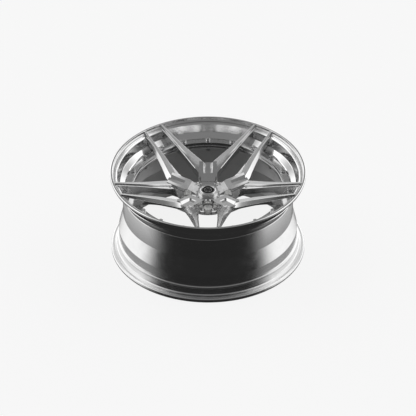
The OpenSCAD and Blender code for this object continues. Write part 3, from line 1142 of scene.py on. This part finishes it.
@dataclass
class Studio:
    """Camera, pale floor and soft surroundings.

    The ramp is grey against level, which is height plus tilt times the depth of a direction. Side is the
    strength of the two bright sides, and the side_ ranges are where they begin or end. Each patch is a
    direction, how tight it is and its strength; a negative strength darkens.
    """

    aim: tuple[float, float, float] = (0.0, 0.0, -0.0294)
    elevation: float = 35.57
    distance: float = 9.991
    lens: float = 309.7
    floor_z: float = -0.1563
    floor_half: float = 60.0
    floor_grey: float = 0.12
    floor_glow: float = 0.86
    ramp: Sequence[tuple[float, float]] = (
        (-1.2, 0.024), (-0.7, 0.026), (-0.45, 0.029), (-0.2, 0.05), (0.1, 0.15), (0.5, 0.22), (0.9, 0.22),
        (1.1, 0.21), (1.3, 0.18))
    tilt: float = 0.55
    side: float = 1.25
    side_across: tuple[float, float] = (0.16, 0.42)
    side_depth: tuple[float, float] = (-0.5, 0.0)
    side_foot: tuple[float, float] = (-0.68, -0.38)
    side_head: tuple[float, float] = (0.80, 0.92)
    darkest: float = 0.018
    backdrop: float = 0.93
    patches: Sequence[tuple[float, float, float, float, float]] = (
        (0.94, 0.13, 0.33, 30, -0.45), (-0.94, 0.13, 0.33, 30, -0.45), (0, 1, 0.05, 16, 0.4),
        (0.58, 0.62, 0.52, 45, -0.9), (-0.58, 0.62, 0.52, 45, -0.9))

    def build(self) -> None:
        """Makes the camera, the floor and the surroundings."""
        self.camera()
        self.floor()
        self.surroundings()
        bpy.context.scene.view_settings.view_transform = "Standard"

    def camera(self) -> None:
        """Long lens from above the front, aimed at a point on the axis."""
        data = bpy.data.cameras.new("camera")
        data.lens = self.lens
        data.sensor_width = 36.0
        data.clip_end = 100.0
        camera = bpy.data.objects.new("camera", data)
        rise = math.radians(self.elevation)
        aim = Vector(self.aim)
        camera.location = aim + self.distance * Vector((0, -math.cos(rise), math.sin(rise)))
        camera.rotation_euler = (aim - camera.location).to_track_quat("-Z", "Y").to_euler()
        bpy.context.scene.collection.objects.link(camera)
        bpy.context.scene.camera = camera

    def floor(self) -> None:
        """Wide pale floor that the metal doesn't mirror."""
        mesh = bpy.data.meshes.new("floor")
        wide, z = self.floor_half, self.floor_z
        mesh.from_pydata([(-wide, -wide, z), (wide, -wide, z), (wide, wide, z), (-wide, wide, z)], [],
                         [(0, 1, 2, 3)])
        floor = bpy.data.objects.new("floor", mesh)
        bpy.context.scene.collection.objects.link(floor)
        kit = MaterialKit("floor_pale")
        kit.shader.inputs["Base Color"].default_value = (*[self.floor_grey] * 3, 1)
        kit.shader.inputs["Roughness"].default_value = 0.9
        kit.shader.inputs["Specular IOR Level"].default_value = 0.0
        kit.shader.inputs["Emission Color"].default_value = (1, 1, 1, 1)
        kit.shader.inputs["Emission Strength"].default_value = self.floor_glow
        mesh.materials.append(kit.material)
        floor.visible_glossy = False

    def surroundings(self) -> None:
        """Grey ramp, two bright sides and soft patches; plain pale grey to the camera itself."""
        world = bpy.data.worlds.new("studio")
        world.use_nodes = True
        bpy.context.scene.world = world
        kit = NodeKit(world.node_tree)
        kit.tree.nodes.clear()
        new, step = kit.tree.nodes.new, kit.math
        way = new("ShaderNodeTexCoord").outputs["Generated"]
        split = new("ShaderNodeSeparateXYZ")
        kit.link(way, split.inputs[0])
        across, depth, height = split.outputs
        total = self.grey_ramp(kit, step("ADD", height, step("MULTIPLY", depth, self.tilt)))
        panel = kit.spread(step("ABSOLUTE", across), self.side_across)
        for value, source, target in ((depth, self.side_depth, (0, 1)), (height, self.side_foot, (0, 1)),
                                      (height, self.side_head, (1, 0))):
            panel = step("MULTIPLY", panel, kit.spread(value, source, target))
        total = step("ADD", total, step("MULTIPLY", panel, self.side))
        for x, y, z, tight, strength in self.patches:
            dot = new("ShaderNodeVectorMath")
            dot.operation = "DOT_PRODUCT"
            kit.link(way, dot.inputs[0])
            dot.inputs[1].default_value = Vector((x, y, z)).normalized()
            patch = step("EXPONENT", step("MULTIPLY", step("SUBTRACT", dot.outputs["Value"], 1.0), tight))
            total = step("ADD", total, step("MULTIPLY", patch, strength))
        seen, lit, mix = new("ShaderNodeBackground"), new("ShaderNodeBackground"), new("ShaderNodeMixShader")
        seen.inputs["Color"].default_value = (*[self.backdrop] * 3, 1)
        kit.link(step("MAXIMUM", total, self.darkest), lit.inputs["Color"])
        kit.link(new("ShaderNodeLightPath").outputs["Is Camera Ray"], mix.inputs[0])
        kit.link(lit.outputs[0], mix.inputs[1])
        kit.link(seen.outputs[0], mix.inputs[2])
        kit.link(mix.outputs[0], new("ShaderNodeOutputWorld").inputs["Surface"])

    def grey_ramp(self, kit: NodeKit, level: Socket) -> Socket:
        """Grey against level, from the table.

        Args:
            kit: the surroundings' nodes.
            level: height plus tilt times the depth of a direction.

        Returns:
            The grey socket.
        """
        low, high = self.ramp[0][0], self.ramp[-1][0]
        ramp = kit.tree.nodes.new("ShaderNodeValToRGB")
        elements = ramp.color_ramp.elements
        while len(elements) < len(self.ramp):
            elements.new(1.0)
        for element, (at, grey) in zip(elements, self.ramp):
            element.position = (at - low) / (high - low)
            element.color = (grey, grey, grey, 1)
        kit.link(kit.math("DIVIDE", kit.math("SUBTRACT", level, low), high - low), ramp.inputs[0])
        return ramp.outputs[0]


def main() -> None:
    """Builds the studio and every part of the wheel."""
    logging.basicConfig(level=logging.INFO, format="%(message)s")
    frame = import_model()
    chosen = Finishes()
    made = {name: getattr(chosen, name).build() for name in chosen.__dataclass_fields__}
    bench = Bench(made, frame["nodes"])
    Studio().build()
    for part in (SplitRim(), ForgedCentre(), AssemblyHardware(), LugSeats(), CentreCap(), TyreValve()):
        part.build(bench)
    bpy.context.view_layer.update()


if __name__ == "__main__":
    main()
